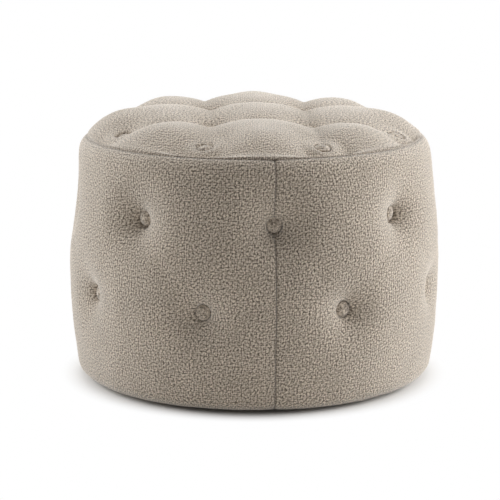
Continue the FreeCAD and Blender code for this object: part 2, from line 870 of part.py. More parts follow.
def make_staples():
    """Staples that hold the turned-under hem to the base board."""
    body = new_body("cover_staples")
    body.AllowCompound = True
    turn = 360.0 / d.staple_count.value / 2
    place = station(turn, d.staple_ring_radius, d.hem_bottom, UP)
    quarter = Placement(Vector(), Rotation(Vector(0, 1, 0), 90.0))
    slide = Placement(Vector(-d.staple_width.value / 2, 0, 0), Rotation())
    sketch = new_sketch(body, "cover_staples_outline", "XZ", place * quarter * slide)
    inner = d.staple_width - d.staple_wire
    draw_profile(sketch, straight((ZERO, ZERO), (d.staple_width, ZERO),
                                  (d.staple_width, d.staple_leg), (inner, d.staple_leg),
                                  (inner, d.staple_wire), (d.staple_wire, d.staple_wire),
                                  (d.staple_wire, d.staple_leg), (ZERO, d.staple_leg)))
    doc.recompute()
    feature = pad(body, sketch, d.staple_wire)
    polar_pattern(body, [feature], d.staple_count, "cover_staples_ring")
    return body


def make_half_space(label, side):
    """A block that holds one half of the tuffet, split through the side seams."""
    block = doc.addObject("Part::Box", label)
    half = d.belly_radius + TOOL_REACH
    block.setExpression("Length", (half * 2).text)
    block.setExpression("Width", half.text)
    block.setExpression("Height", (d.crown_height + TOOL_REACH).text)
    low = 0.0 if side > 0 else -half.value
    block.Placement = TURNED * Placement(Vector(-half.value, low, 0), Rotation())
    return block


def make_side_panels(core, fasteners):
    """Two cloth panels round the side, with the hem turned under and the seams upright."""
    outside = make_side_form("side_form", ZERO, 0.0)
    opening = make_ring("hem_opening", d.hem_inner_radius, None, ZERO, board_low() + d.fabric)
    ring = part_cut("side_cover_ring", outside, core)
    open_ring = part_cut("side_cover_open", ring, opening)
    pierced = part_cut("side_cover_pierced", open_ring, fasteners)
    panels = []
    for label, side in (("side_panel_left", -1), ("side_panel_right", 1)):
        half = make_half_space(label + "_half", side)
        panels.append(part_common(label, pierced, half))
    return panels


def make_all():
    nails = make_nails()
    staples = make_staples()
    fasteners = doc.addObject("Part::Compound", "base_fasteners")
    fasteners.Links = [nails, staples]
    seat_foam = make_seat_foam()
    top_cover = part_cut("top_cover", make_seat_form(), seat_foam)
    core = make_side_form("side_core", d.fabric, TOOL_OVERLAP)
    foam_ring = make_ring("foam_ring", d.belly_radius + TOOL_REACH, d.drum_radius, board_low(),
                          d.shoulder_height - board_low())
    side_foam = part_common("side_foam", core, foam_ring)
    blank = make_ring("dust_cover_blank", d.dust_cover_radius, None, glide_height(),
                      d.dust_cover_thickness)
    dust_cover = part_cut("dust_cover", blank, nails)
    pieces = [top_cover, seat_foam, side_foam, make_top_board(), make_drum_wall(),
              make_base_board(fasteners), dust_cover, nails, staples, make_button_backs(),
              make_twines(), make_toggles(), make_screws()]
    pieces += make_side_panels(core, fasteners)
    pieces += [make_upright(index) for index in range(int(d.upright_count.value))]
    pieces += make_buttons()
    pieces += make_glides(nails)
    return pieces


def check_and_write(pieces):
    """Stops on any failed object or bad shape, then writes one file for each piece."""
    doc.recompute()
    failed = [item.Label for item in doc.Objects
              if "Invalid" in item.State or "Error" in item.State]
    if failed:
        raise RuntimeError("failed: " + ", ".join(failed))
    os.makedirs("parts", exist_ok=True)
    for piece in pieces:
        shape = piece.Shape
        if shape.isNull() or not shape.isValid() or not shape.Solids:
            raise RuntimeError("bad shape: " + piece.Label)
        shape.exportStep("parts/" + piece.Label + ".step")
        box = shape.BoundBox
        print(piece.Label, len(shape.Solids), "solids", round(shape.Volume / 1000.0, 2), "cm3",
              "z", round(box.ZMin, 2), round(box.ZMax, 2))


check_and_write(make_all())
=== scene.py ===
import math

import bpy
import numpy as np
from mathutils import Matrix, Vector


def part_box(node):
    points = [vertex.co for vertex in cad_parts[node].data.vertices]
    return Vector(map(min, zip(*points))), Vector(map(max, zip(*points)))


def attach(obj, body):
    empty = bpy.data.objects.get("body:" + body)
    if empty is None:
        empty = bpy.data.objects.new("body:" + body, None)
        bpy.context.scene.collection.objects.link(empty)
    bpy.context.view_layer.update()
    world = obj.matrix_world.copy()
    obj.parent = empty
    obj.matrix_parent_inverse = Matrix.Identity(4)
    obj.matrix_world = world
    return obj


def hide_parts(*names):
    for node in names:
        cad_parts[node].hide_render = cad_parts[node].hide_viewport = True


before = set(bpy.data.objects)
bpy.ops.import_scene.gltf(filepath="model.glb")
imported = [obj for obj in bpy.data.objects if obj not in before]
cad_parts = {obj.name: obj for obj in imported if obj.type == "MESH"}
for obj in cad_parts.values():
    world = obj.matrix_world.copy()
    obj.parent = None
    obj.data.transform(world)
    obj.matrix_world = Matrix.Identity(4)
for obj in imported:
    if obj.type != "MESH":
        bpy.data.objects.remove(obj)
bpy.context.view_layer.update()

# A round tuffet in curly taupe fleece. Its covers, buttons and pads are meshes made here, with
# puffs, tufts, seams and curls in the shape; the drum and fasteners are the frame's own parts.

MM = 0.001

# The padded form, as turned about the upright axis
FRONT = math.radians(6.3 - 90.0)
BELLY_RADIUS = 285.0 * MM
BELLY_HEIGHT = 170.0 * MM
BELLY_CURVE = 1000.0 * MM
BASE_CURVE = 20.0 * MM
SHOULDER_CURVE = 32.0 * MM
SHOULDER_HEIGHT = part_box("side_foam")[1].z
RIM_CURVE = 88.8 * MM
RIM_CENTRE = np.array([182.1, 322.2]) * MM
SEAM_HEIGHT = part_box("top_cover")[0].z
CROWN_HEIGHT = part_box("top_cover")[1].z
HEM_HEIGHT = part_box("side_panel_left")[0].z
HEM_INNER = 190.0 * MM
HEM_FADE = 1.6
WALL_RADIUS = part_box("drum_wall")[1].x
CLOTH = 3.0 * MM
PAD_GAP = 1.5 * MM
PAD_CLEARANCE = 0.3 * MM
PAD_LIP = 12.0 * MM

# The seat's own pattern, turned back from the seam, shifted to one side and leaning forwards
SEAT_FRONT = FRONT - math.radians(4.3)
SEAT_MIDDLE = 6.0 * MM * np.array([-math.sin(FRONT), math.cos(FRONT)])
SEAT_LEAN = np.array([-0.010, 0.028])
SEAT_SAG = 2.0 * MM
SAG_RADIUS = 200.0 * MM

# Buttons, with angles counted from the front seam and, on the seat, from its pattern's front
STEP = math.radians(22.5)
BUTTON_RADIUS = 11.45 * MM
BUTTON_HEIGHT = 8.0 * MM
BACK_RADIUS = 9.3 * MM
BACK_RECESS = 2.0 * MM
BUTTON_BEAD = 2.6 * MM
BUTTON_DOME = 2.4
BUTTON_GRID = 0.7 * MM
BUTTON_SIDES = 72
# name, count, first angle, height, face radius, depth of the dimple, its reach
SIDE_RINGS = (
    ("button_side_upper", 8, 0.0, 275.7 * MM, 255.5 * MM, 27.0 * MM, 1.0),
    ("button_side_lower", 8, STEP, 148.5 * MM, 267.0 * MM, 20.5 * MM, 0.85),
)
# name, count, first angle, ring radius, face height, depth of the dimple, outward lean
SEAT_RINGS = (
    ("button_top_outer", 8, STEP, 220.0 * MM, 382.0 * MM, 26.0 * MM, math.radians(12.0)),
    ("button_top_inner", 4, 2 * STEP, 103.0 * MM, 391.0 * MM, 23.7 * MM, 0.0),
)

# Tufting
POCKET_DEPTH = 5.0 * MM
POCKET_INSIDE = 11.9 * MM
POCKET_OUTSIDE = 14.2 * MM
DIMPLE_FLOOR = 12.0 * MM
DIMPLE_NECK = 12.0 * MM
DIMPLE_FLARE = 40.0 * MM
NECK_SHARE = 0.58
SEAT_NECK_SHARE = 0.5
SEAT_REACH = 1.08
FLOOR_BELOW_FACE = 1.5 * MM
VALLEY_DEPTH = 13.9 * MM
VALLEY_WIDTH = 27.0 * MM
VALLEY_FLOOR = 3.0 * MM
RIM_VALLEY_DEPTH = 5.0 * MM
RIM_VALLEY_WIDTH = 12.0 * MM
RIM_VALLEY_FADE = 0.3
SIDE_VALLEY_DEPTH = 1.6 * MM
SIDE_VALLEY_WIDTH = 14.0 * MM
RIM_EASE = 9.0 * MM
LEAN_EASE = 16.0 * MM
BLEND_POWER = 3

# Seams
SEAM_DEPTH = 2.2 * MM
SEAM_WIDTH = 1.5 * MM
SEAM_FALL = 1.2
RIM_SEAM_DEPTH = 1.3 * MM
RIM_SEAM_WIDTH = 3.0 * MM
SEAM_SWAY = 0.9 * MM
SEAM_SWAY_PITCH = 34.0 * MM
SEAM_SWAY_REACH = 25.0 * MM
SEAM_GAP = 0.15 * MM
SEAM_DRAW = 1.2 * MM
SEAM_DRAW_WIDTH = 14.0 * MM
SEAM_STEPS = np.array([0.0, 0.5, 1.0, 1.6, 2.3, 3.2]) * MM

# Grids of points
GRID = 1.1 * MM
PAD_GRID = 5.0 * MM
PROFILE_STEP = 0.5 * MM
LINING_EVERY = 4
DUST_COUNT = 60
UV_REACH = 0.49

# Fleece
CURL_PITCH = 3.1 * MM
CURL_HEIGHT = 1.8 * MM
CURL_BEND = 0.8 * MM
CURL_MARGIN = 0.2
CURL_SPREAD = 0.85
CURL_SHRINK = 0.3
FINE_SCALE = 0.55
FINE_SHARE = 0.35
CURL_MIDDLE = 0.5
BUTTON_CURL_HEIGHT = 0.9 * MM
BUTTON_CURL_MIDDLE = 0.65
BUTTON_CURL_EASE = 2.0 * MM
SEAM_FLATTENS = 0.75
# Share by which a seam lowers the curl heights that set the colour: painted shade in the seam's
# crease.
SEAM_PAINTED_SHADE = 0.15
NAP_PITCH = 26.0 * MM
NAP_HEIGHT = 0.6 * MM

# Slow patches are found over this many grid steps each way, and what is left is made stronger
LEVEL_REACH = 2
LEVEL_GAIN = 1.38

# Ripples of the dust sheet, whose plan has radius 1
RIPPLE_PITCH = 0.16
RIPPLE_HEIGHT = 0.15 * MM

# Camera, placed so that the seam, the button rows and the outline fall as in the photograph
CAMERA_PLACE = (-6.6 * MM, -2862.4 * MM, 774.8 * MM)
CAMERA_PITCH = 11.58
FOCAL_PIXELS = 1880.2
IMAGE_WIDTH = 500.0
SENSOR_WIDTH = 36.0


def arc(centre, radius, start, end, step):
    """Points along an arc in the (radius, height) plane, and their outward normals."""
    count = max(3, int(abs(end - start) * radius / step) + 1)
    angle = np.linspace(start, end, count)
    normal = np.stack([np.cos(angle), np.sin(angle)], 1)
    return np.asarray(centre) + radius * normal, normal


def joined(runs):
    """One profile from runs of (points, normals) that meet end to end."""
    trimmed = [(points[:-1], normals[:-1]) for points, normals in runs[:-1]] + [runs[-1]]
    return [np.concatenate(part) for part in zip(*trimmed)]


def edge_centre(curve, height):
    """Centre of a rounded edge that runs into the belly's arc."""
    reach = BELLY_CURVE - curve
    radius = BELLY_RADIUS - BELLY_CURVE + math.sqrt(reach ** 2 - (height - BELLY_HEIGHT) ** 2)
    return np.array([radius, height])


def side_profile(step, inner=HEM_INNER):
    """Side from the turned-under hem, round the base edge and over the belly, to the rim seam."""
    base = edge_centre(BASE_CURVE, HEM_HEIGHT + BASE_CURVE)
    shoulder = edge_centre(SHOULDER_CURVE, SHOULDER_HEIGHT)
    belly = np.array([BELLY_RADIUS - BELLY_CURVE, BELLY_HEIGHT])
    low = math.atan2(*(base - belly)[::-1])
    high = math.atan2(*(shoulder - belly)[::-1])
    top = math.asin((SEAM_HEIGHT - SHOULDER_HEIGHT) / SHOULDER_CURVE)
    count = int((base[0] - inner) / step) + 2
    hem = np.stack([np.linspace(inner, base[0], count), np.full(count, HEM_HEIGHT)], 1)
    return joined([(hem, np.tile([0.0, -1.0], (count, 1))),
                   arc(base, BASE_CURVE, -math.pi / 2, low, step),
                   arc(belly, BELLY_CURVE, low, high, step),
                   arc(shoulder, SHOULDER_CURVE, high, top, step)])


def seat_profile(step):
    """Seat from the rim seam, over the rounded rim, to the middle of the crown."""
    rise = CROWN_HEIGHT - RIM_CENTRE[1]
    crown = (RIM_CENTRE[0] ** 2 + rise ** 2 - RIM_CURVE ** 2) / (2 * (rise - RIM_CURVE))
    centre = np.array([0.0, CROWN_HEIGHT - crown])
    meet = math.atan2(*(RIM_CENTRE - centre)[::-1])
    seam = math.asin((SEAM_HEIGHT - RIM_CENTRE[1]) / RIM_CURVE)
    return joined([arc(RIM_CENTRE, RIM_CURVE, seam, meet, step),
                   arc(centre, crown, meet, math.pi / 2, step)])


def lengths(profile):
    """Length along a profile at each of its points."""
    return np.concatenate([[0], np.cumsum(np.linalg.norm(np.diff(profile, axis=0), axis=1))])


def ring_angles(count, first, front=FRONT):
    """Angles of a ring of evenly spaced buttons, the first of them counted from front."""
    return [front + first + 2 * math.pi * k / count for k in range(count)]


def seat_spots(count, first, radius):
    """Plan points of a ring of the seat, and the directions that point outwards from them."""
    angles = np.array(ring_angles(count, first, SEAT_FRONT))
    out = np.stack([np.cos(angles), np.sin(angles)], 1)
    return SEAT_MIDDLE + radius * out, out


def smooth_step(low, high, value):
    """0 below low and 1 above high, with a smooth rise between."""
    share = np.clip((value - low) / (high - low), 0.0, 1.0)
    return share * share * (3 - 2 * share)


def dimple(distance, depth, reach=1.0, neck_share=NECK_SHARE):
    """Depth of a tuft: a wide flare, a close neck, and a pocket that holds the button."""
    away = np.maximum(distance - DIMPLE_FLOOR, 0.0)
    neck = np.exp(-away / (DIMPLE_NECK * reach))
    flare = np.exp(-(away / (DIMPLE_FLARE * reach)) ** 2)
    pocket = 1 - smooth_step(POCKET_INSIDE, POCKET_OUTSIDE, distance)
    return depth * (neck_share * neck + (1 - neck_share) * flare) + POCKET_DEPTH * pocket


def valley(points, start, end, width):
    """Share of a valley's depth beside the line from start to end, and place along the line."""
    line = end - start
    along = np.clip(((points - start) @ line) / (line @ line), 0.0, 1.0)
    distance = np.linalg.norm(points - start - along[..., None] * line, axis=-1)
    away = np.sqrt(distance ** 2 + VALLEY_FLOOR ** 2) - VALLEY_FLOOR
    return np.exp(-away / width), along


def blend_depths(depths):
    """Joins depths softly, so that the deeper leads where two meet."""
    return sum(np.maximum(depth, 0.0) ** BLEND_POWER for depth in depths) ** (1 / BLEND_POWER)


def seat_dimple(plan, height, spot, out, face, depth, lean):
    """Depth of one tuft of the seat, which meets its button's leaning face all round."""
    away = plan - spot
    distance = np.linalg.norm(away, axis=-1)
    floor = face - FLOOR_BELOW_FACE - math.tan(lean) * (away @ out)
    near = 1 - smooth_step(DIMPLE_FLOOR, 3 * DIMPLE_FLOOR, distance)
    full = depth + (height - floor - depth) * near
    return dimple(distance, full, SEAT_REACH, SEAT_NECK_SHARE)


def seat_depth(plan, height):
    """How far the seat's cloth is drawn down, from its plain height, at each plan point."""
    depths = []
    rings = []
    for _, count, first, radius, face, depth, lean in SEAT_RINGS:
        spots, outs = seat_spots(count, first, radius)
        rings.append(spots)
        for spot, out in zip(spots, outs):
            depths.append(seat_dimple(plan, height, spot, out, face, depth, lean))
    outer, inner = rings
    for k, spot in enumerate(inner):
        for other in (inner[(k + 1) % 4], outer[2 * k], outer[2 * k + 1]):
            depths.append(VALLEY_DEPTH * valley(plan, spot, other, VALLEY_WIDTH)[0])
    for spot in outer:
        rim = spot * (BELLY_RADIUS / np.linalg.norm(spot))
        share, along = valley(plan, spot, rim, RIM_VALLEY_WIDTH)
        depths.append(RIM_VALLEY_DEPTH * share * (1.0 - RIM_VALLEY_FADE * along))
    return blend_depths(depths)


def ease_in(gap, reach):
    """0 at a seam, rising to 1 beyond reach."""
    return 1 - np.exp(-(gap / reach) ** 2)


def tufted(plan, height, rim_gap):
    """Heights of the seat once it leans and its tufts are drawn down, by distance from the rim."""
    sag = SEAT_SAG * np.sum(plan ** 2, -1) / SAG_RADIUS ** 2
    plain = height + (plan @ SEAT_LEAN - sag) * ease_in(rim_gap, LEAN_EASE)
    return plain - seat_depth(plan, plain) * ease_in(rim_gap, RIM_EASE)


def wrapped(flat, spot):
    """Offsets on the unrolled side from a spot, taken the short way round."""
    girth = 2 * math.pi * BELLY_RADIUS
    offset = flat - spot
    offset[..., 0] = (offset[..., 0] + girth / 2) % girth - girth / 2
    return offset


def side_depth(angle, height):
    """How far the side's cloth is drawn in at each angle and height."""
    flat = np.stack([angle * BELLY_RADIUS, height], -1)
    depths = []
    rings = []
    for _, count, first, row, _, depth, reach in SIDE_RINGS:
        spots = [np.array([a * BELLY_RADIUS, row]) for a in ring_angles(count, first)]
        rings.append(spots)
        for spot in spots:
            distance = np.linalg.norm(wrapped(flat, spot), axis=-1)
            depths.append(dimple(distance, depth, reach))
    upper, lower = rings
    for k, spot in enumerate(upper):
        for other in (lower[k], lower[k - 1]):
            line = wrapped(other, spot)
            share, _ = valley(wrapped(flat, spot), np.zeros(2), line, SIDE_VALLEY_WIDTH)
            depths.append(SIDE_VALLEY_DEPTH * share)
    return blend_depths(depths)


TABLE_SIZE = 64
RANDOM_TABLE = np.random.default_rng(7).random((TABLE_SIZE, TABLE_SIZE, TABLE_SIZE, 4))
BEND_SALT, CURL_SALT, FINE_SALT, NAP_SALT, RIPPLE_SALT, SWAY_SALT = range(1, 7)


def random_at(cell, salt):
    """Four repeatable numbers from 0 to 1 for each whole-number cell."""
    spot = (cell + salt * np.array([17, 5, 29])) % TABLE_SIZE
    return RANDOM_TABLE[spot[..., 0], spot[..., 1], spot[..., 2]]


def soft_noise(points, pitch, salt):
    """Three smooth noises from -1 to 1 at each point."""
    spot = points / pitch
    cell = np.floor(spot).astype(int)
    part = spot - cell
    ease = part * part * (3 - 2 * part)
    total = np.zeros(points.shape)
    for corner in np.ndindex(2, 2, 2):
        step = np.array(corner)
        weight = np.prod(np.where(step == 1, ease, 1 - ease), axis=-1, keepdims=True)
        total += weight * random_at(cell + step, salt)[..., :3]
    return total * 2 - 1


def nearest_curl(points, pitch, salt):
    """Distance in pitches to the nearest of scattered curl centres, and that curl's size."""
    spot = points / pitch
    cell = np.floor(spot).astype(int)
    best = np.full(points.shape[:-1], np.inf)
    size = np.zeros(points.shape[:-1])
    spread = 1 - 2 * CURL_MARGIN
    for corner in np.ndindex(3, 3, 3):
        near = cell + np.array(corner) - 1
        chance = random_at(near, salt)
        gap = np.sum((near + CURL_MARGIN + spread * chance[..., :3] - spot) ** 2, -1)
        closer = gap < best
        best = np.where(closer, gap, best)
        size = np.where(closer, chance[..., 3], size)
    return np.sqrt(best), size


def curls(points):
    """Height of the fleece's curls, from 0 in the gaps to 1 on top."""
    bent = points + CURL_BEND * soft_noise(points, CURL_PITCH, BEND_SALT)
    wide, size = nearest_curl(bent, CURL_PITCH, CURL_SALT)
    fine, _ = nearest_curl(bent, CURL_PITCH * FINE_SCALE, FINE_SALT)
    wide_top, fine_top = (np.sqrt(np.clip(1 - (gap / CURL_SPREAD) ** 2, 0, 1)) for gap in (wide, fine))
    wide_top = wide_top * (1 - CURL_SHRINK + CURL_SHRINK * size)
    return (1 - FINE_SHARE) * wide_top + FINE_SHARE * fine_top


def grid_faces(index, closed=False):
    """Quads between neighbours in a grid of vertex numbers; closed joins its last column."""
    if closed:
        index = np.concatenate([index, index[:, :1]], 1)
    corners = (index[:-1, :-1], index[:-1, 1:], index[1:, 1:], index[1:, :-1])
    return np.stack(corners, -1).reshape(-1, 4)


def grid_normals(points):
    """Outward normals of a grid whose columns run to the left of its rows."""
    normal = np.cross(np.gradient(points, axis=1), np.gradient(points, axis=0))
    return normal / np.maximum(np.linalg.norm(normal, axis=-1, keepdims=True), 1e-12)


def make_mesh(name, vertices, faces, uv=None, curl=None):
    """Smooth-shaded object from arrays of vertices and of faces with 3 and 4 corners."""
    mesh = bpy.data.meshes.new(name)
    corners = np.concatenate([part.ravel() for part in faces]).astype(np.int32)
    sizes = np.concatenate([np.full(len(part), part.shape[1]) for part in faces])
    mesh.vertices.add(len(vertices))
    mesh.vertices.foreach_set("co", np.asarray(vertices, np.float32).ravel())
    mesh.loops.add(len(corners))
    mesh.loops.foreach_set("vertex_index", corners)
    mesh.polygons.add(len(sizes))
    mesh.polygons.foreach_set("loop_start", (np.cumsum(sizes) - sizes).astype(np.int32))
    mesh.update(calc_edges=True)
    mesh.validate()
    mesh.polygons.foreach_set("use_smooth", np.ones(len(sizes), dtype=bool))
    if uv is not None:
        layer = mesh.uv_layers.new(name="OFBake")
        layer.data.foreach_set("uv", np.asarray(uv, np.float32)[corners].ravel())
    if curl is not None:
        layer = mesh.attributes.new("curl", "FLOAT", "POINT")
        layer.data.foreach_set("value", np.asarray(curl, np.float32))
    piece = bpy.data.objects.new(name, mesh)
    bpy.context.scene.collection.objects.link(piece)
    return piece


def edge_loop(index):
    """Vertex numbers round a grid's edge, in the direction of its faces."""
    return np.concatenate([index[0, :-1], index[:-1, -1], index[-1, :0:-1], index[:0:-1, 0]])


def rim_faces(fine, picked, coarse):
    """Triangles between a fine edge loop and a coarse one that starts at the same corner."""
    places = np.append(np.flatnonzero(np.isin(fine, picked)), len(fine))
    owner = np.repeat(np.arange(len(coarse)), np.diff(places))
    fans = np.stack([np.roll(fine, -1), fine, coarse[owner]], -1)
    joints = np.stack([fine[places[1:] % len(fine)], coarse, np.roll(coarse, -1)], -1)
    return np.concatenate([fans, joints])


def lined_cover(name, outer, lining, uv, curl):
    """Closed cloth: a fine outer face, a coarser lining and the cut edge between them."""
    rows, columns = outer.shape[:2]
    picks = [np.unique(np.append(np.arange(0, size, LINING_EVERY), size - 1))
             for size in (rows, columns)]
    picked = np.ix_(*picks)
    index = np.arange(rows * columns).reshape(rows, columns)
    under = rows * columns + np.arange(len(picks[0]) * len(picks[1]))
    under = under.reshape(len(picks[0]), len(picks[1]))
    faces = [grid_faces(index), grid_faces(under)[:, ::-1],
             rim_faces(edge_loop(index), edge_loop(index[picked]), edge_loop(under))]
    vertices = np.concatenate([outer.reshape(-1, 3), lining[picked].reshape(-1, 3)])
    all_uv = np.concatenate([uv.reshape(-1, 2), uv[picked].reshape(-1, 2)])
    all_curl = np.concatenate([curl.ravel(), np.zeros(under.size)])
    return make_mesh(name, vertices, faces, all_uv, all_curl)


def local_mean(values):
    """Mean of a grid's values over the neighbours up to LEVEL_REACH away, along both axes."""
    for axis in (0, 1):
        ends = np.zeros((2, 2), int)
        ends[axis] = LEVEL_REACH
        wide = np.pad(values, ends, "reflect")
        count = values.shape[axis]
        starts = range(2 * LEVEL_REACH + 1)
        shifted = [np.take(wide, np.arange(start, start + count), axis) for start in starts]
        values = sum(shifted) / len(shifted)
    return values


def level_curls(points):
    """Curl heights without their slow patches, so that the fleece is as even as it is in life."""
    height = curls(points)
    slow = local_mean(height)
    return slow.mean() + LEVEL_GAIN * (height - slow)


def fleece(points, calm):
    """Raises curls on a smooth grid; calm is 1 where a seam holds the pile down."""
    height = level_curls(points)
    nap = soft_noise(points, NAP_PITCH, NAP_SALT)[..., 0] * NAP_HEIGHT
    lift = (height - CURL_MIDDLE) * CURL_HEIGHT * (1 - SEAM_FLATTENS * calm) + nap * (1 - calm)
    # The curl heights returned for the colour are lowered along seams, which paints shade into the
    # seam's crease.
    return points + grid_normals(points) * lift[..., None], height * (1 - SEAM_PAINTED_SHADE * calm)


def seam_pull(gap, width=SEAM_WIDTH):
    """Share of a seam's depth at a distance from it."""
    return np.exp(-(gap / width) ** SEAM_FALL)


def seam_sway(height, gap):
    """How far a hand-guided upright seam strays sideways, easing off into the panel."""
    spots = np.stack([0 * height, 0 * height, height], -1)
    sway = SEAM_SWAY * soft_noise(spots, SEAM_SWAY_PITCH, SWAY_SALT)[..., 0]
    return sway * np.exp(-gap / SEAM_SWAY_REACH)


def around(radius, angle, height):
    """Points at radii and angles about the upright axis, and at heights."""
    return np.stack(np.broadcast_arrays(radius * np.cos(angle), radius * np.sin(angle), height), -1)


def panel_angles(start, end):
    """Angles from one upright seam to the other, closer together beside both seams."""
    near = (SEAM_GAP + SEAM_STEPS) / BELLY_RADIUS
    step = GRID / BELLY_RADIUS
    count = int((end - start) / step)
    middle = np.linspace(start + near[-1] + step, end - near[-1] - step, count)
    return np.concatenate([start + near, middle, end - near[::-1]])


# Direction in which both covers are drawn in at the rim seam, as (radius, height)
SEAM_INWARD = -(side_profile(GRID)[1][-1] + seat_profile(GRID)[1][0])
SEAM_INWARD /= np.linalg.norm(SEAM_INWARD)


def side_panel(name, node, start, end):
    """One cloth panel of the side, from seam to seam and from hem to rim."""
    profile, outward = side_profile(GRID)
    angle = panel_angles(start, end)[None, :]
    shape = (len(profile), angle.size)
    radius, height = (np.broadcast_to(profile[:, i:i + 1], shape) for i in (0, 1))
    side_gap = np.minimum(angle - start, end - angle) * BELLY_RADIUS
    rim_gap = (lengths(profile)[-1] - lengths(profile))[:, None]
    side_pull, rim_pull = seam_pull(side_gap), seam_pull(rim_gap, RIM_SEAM_WIDTH)
    drawn = SEAM_DRAW * np.exp(-side_gap / SEAM_DRAW_WIDTH)
    facing = np.clip(outward[:, :1] * HEM_FADE, 0, 1)
    depth = (side_depth(np.broadcast_to(angle, shape), height) + drawn) * facing
    depth = depth + SEAM_DEPTH * side_pull
    out = radius - depth * outward[:, :1] + RIM_SEAM_DEPTH * rim_pull * SEAM_INWARD[0]
    up = height - depth * outward[:, 1:] + RIM_SEAM_DEPTH * rim_pull * SEAM_INWARD[1]
    turn = angle + seam_sway(height, side_gap) / BELLY_RADIUS
    lining = around(out - CLOTH * outward[:, :1], turn, up - CLOTH * outward[:, 1:])
    points, curl = fleece(around(out, turn, up), np.maximum(side_pull, rim_pull))
    uv = np.stack(np.broadcast_arrays((angle - start) / (end - start),
                                      1 - rim_gap / rim_gap[0]), -1)
    piece = lined_cover(name, points, lining, uv, curl)
    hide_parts(node)
    return piece


def disc_plan(count):
    """A square grid pressed into a disc of radius 1, as x and y."""
    line = np.linspace(-1, 1, count)
    a, b = np.meshgrid(line, line)
    wide = np.abs(a) >= np.abs(b)
    radius = np.where(wide, a, b)
    lesser = np.where(wide, b, a)
    turn = math.pi / 4 * lesser / np.where(radius == 0, 1.0, radius)
    along, across = radius * np.cos(turn), radius * np.sin(turn)
    return np.where(wide, along, across), np.where(wide, across, along)


def seat_cover():
    """Round cloth over the seat, tufted and sewn down at the rim."""
    profile, _ = seat_profile(PROFILE_STEP)
    length = lengths(profile)
    x, y = disc_plan(int(2 * length[-1] / GRID))
    rim_gap = (1 - np.hypot(x, y)) * length[-1] + SEAM_GAP
    radius = np.interp(rim_gap, length, profile[:, 0])
    height = np.interp(rim_gap, length, profile[:, 1])
    angle = np.arctan2(y, x)
    plan = around(radius, angle, height)[..., :2]
    pull = seam_pull(rim_gap, RIM_SEAM_WIDTH)
    out = radius + RIM_SEAM_DEPTH * pull * SEAM_INWARD[0]
    up = tufted(plan, height, rim_gap) + RIM_SEAM_DEPTH * pull * SEAM_INWARD[1]
    smooth = around(out, angle, up)
    points, curl = fleece(smooth, pull)
    uv = 0.5 + UV_REACH * np.stack([x, y], -1)
    piece = lined_cover("seat_cover", points, smooth - [0, 0, CLOTH], uv, curl)
    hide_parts("top_cover")
    return piece


def turned(name, rings, bottom=None, top=None, curl=None):
    """Closed mesh from rings that run up its outside; poles close it, or else it is a hoop."""
    rows, columns = rings.shape[:2]
    index = np.arange(rows * columns).reshape(rows, columns)
    vertices = rings.reshape(-1, 3)
    if bottom is None:
        looped = np.concatenate([index, index[:1]])
        return make_mesh(name, vertices, [grid_faces(looped, True)])
    last = np.roll(index, -1, 1)
    low, high = rows * columns, rows * columns + 1
    fans = [np.stack([np.full(columns, low), last[0], index[0]], -1),
            np.stack([np.full(columns, high), index[-1], last[-1]], -1)]
    vertices = np.concatenate([vertices, [bottom, top]])
    if curl is not None:
        curl = np.concatenate([curl.ravel(), [0, curl[-1].mean()]])
    return make_mesh(name, vertices, [grid_faces(index, True)] + fans, None, curl)


def even(points, step):
    """Points spaced evenly along a line of straight runs."""
    length = lengths(points)
    place = np.linspace(0, length[-1], int(length[-1] / step) + 2)
    return np.stack([np.interp(place, length, points[:, i]) for i in (0, 1)], 1)


def side_pad():
    """Foam hoop between the drum's wall and the side's cloth, drawn in at each tuft."""
    inset = CLOTH + PAD_GAP
    profile, outward = side_profile(PAD_GRID, WALL_RADIUS + PAD_GAP)
    kept = profile[:, 1] < SHOULDER_HEIGHT - 1 * MM
    profile, outward = profile[kept], outward[kept]
    angle = np.arange(0, 2 * math.pi, PAD_GRID / BELLY_RADIUS)[None, :]
    shape = (len(profile), angle.size)
    height = np.broadcast_to(profile[:, 1:], shape)
    depth = side_depth(np.broadcast_to(angle, shape), height) * np.clip(outward[:, :1], 0, 1)
    depth = depth + inset
    outside = around(profile[:, :1] - depth * outward[:, :1], angle,
                     profile[:, 1:] - depth * outward[:, 1:])
    wall = WALL_RADIUS + PAD_CLEARANCE
    back = even(np.array([[WALL_RADIUS + PAD_LIP, SHOULDER_HEIGHT - PAD_GAP],
                          [wall, SHOULDER_HEIGHT - PAD_GAP],
                          [wall, HEM_HEIGHT + inset]]), 4 * PAD_GRID)
    inside = around(back[:, :1], angle, back[:, 1:])
    piece = turned("side_pad", np.concatenate([outside, inside]))
    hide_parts("side_foam")
    return piece


def seat_pad():
    """Foam cushion over the top board, domed, and drawn down at each tuft."""
    inset = CLOTH + PAD_GAP
    shoulder = edge_centre(SHOULDER_CURVE, SHOULDER_HEIGHT)
    top = math.asin((SEAM_HEIGHT - SHOULDER_HEIGHT) / SHOULDER_CURVE)
    edge, _ = arc(shoulder, SHOULDER_CURVE - inset, 0.0, top, PAD_GRID)
    crown, normal = seat_profile(PAD_GRID)
    crown = (crown - inset * normal)[1:-1]
    base = even(np.array([[PAD_GRID, SHOULDER_HEIGHT], edge[0]]), 2 * PAD_GRID)
    angle = np.arange(0, 2 * math.pi, PAD_GRID / BELLY_RADIUS)[None, :]
    under = np.concatenate([base[:-1], edge])
    lower = around(under[:, :1], angle, under[:, 1:])
    upper = around(crown[:, :1], angle, crown[:, 1:])
    away = lengths(crown)[:, None] + PAD_GRID
    upper[..., 2] = tufted(upper[..., :2], upper[..., 2] + inset, away) - inset
    piece = turned("seat_pad", np.concatenate([lower, upper]), (0, 0, SHOULDER_HEIGHT),
                   (0, 0, CROWN_HEIGHT - inset))
    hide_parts("seat_foam")
    return piece


